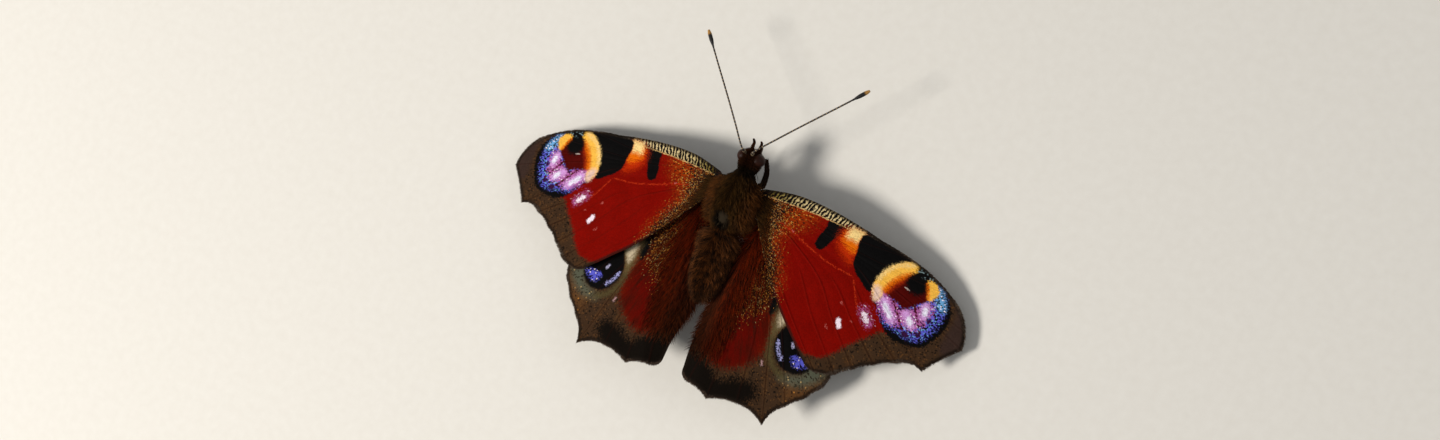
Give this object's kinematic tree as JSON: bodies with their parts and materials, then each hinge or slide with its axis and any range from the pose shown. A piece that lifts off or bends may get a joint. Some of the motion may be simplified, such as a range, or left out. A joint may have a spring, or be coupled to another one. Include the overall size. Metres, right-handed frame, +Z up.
{
  "type": "peacock butterfly",
  "caption": "Life-size still model of a resting butterfly with spread, scalloped wings, clubbed antennae and slender legs that carry it.",
  "frame": {"origin": "on the floor under the middle of the outline", "axes": "+Y the way the head looks, +X to the animal's right, +Z up"},
  "size_m": [0.0604, 0.0401, 0.0093],
  "materials": {
    "wing": "matte scales",
    "fur": "matte hair",
    "shell": "satin chitin",
    "eye": "gloss"
  },
  "bodies": {
    "root": {"thorax": "fur", "abdomen": "fur", "head": "fur", "tongue": "shell", "forewing_right": "wing", "forewing_left": "wing", "hindwing_right": "wing", "hindwing_left": "wing", "eye_right": "eye", "eye_left": "eye", "antenna_right": "shell", "antenna_left": "shell", "palp_right": "fur", "palp_left": "fur", "foreleg_right": "shell", "foreleg_left": "shell", "midleg_right": "shell", "midleg_left": "shell", "hindleg_right": "shell", "hindleg_left": "shell"}
  },
  "joints": []
}
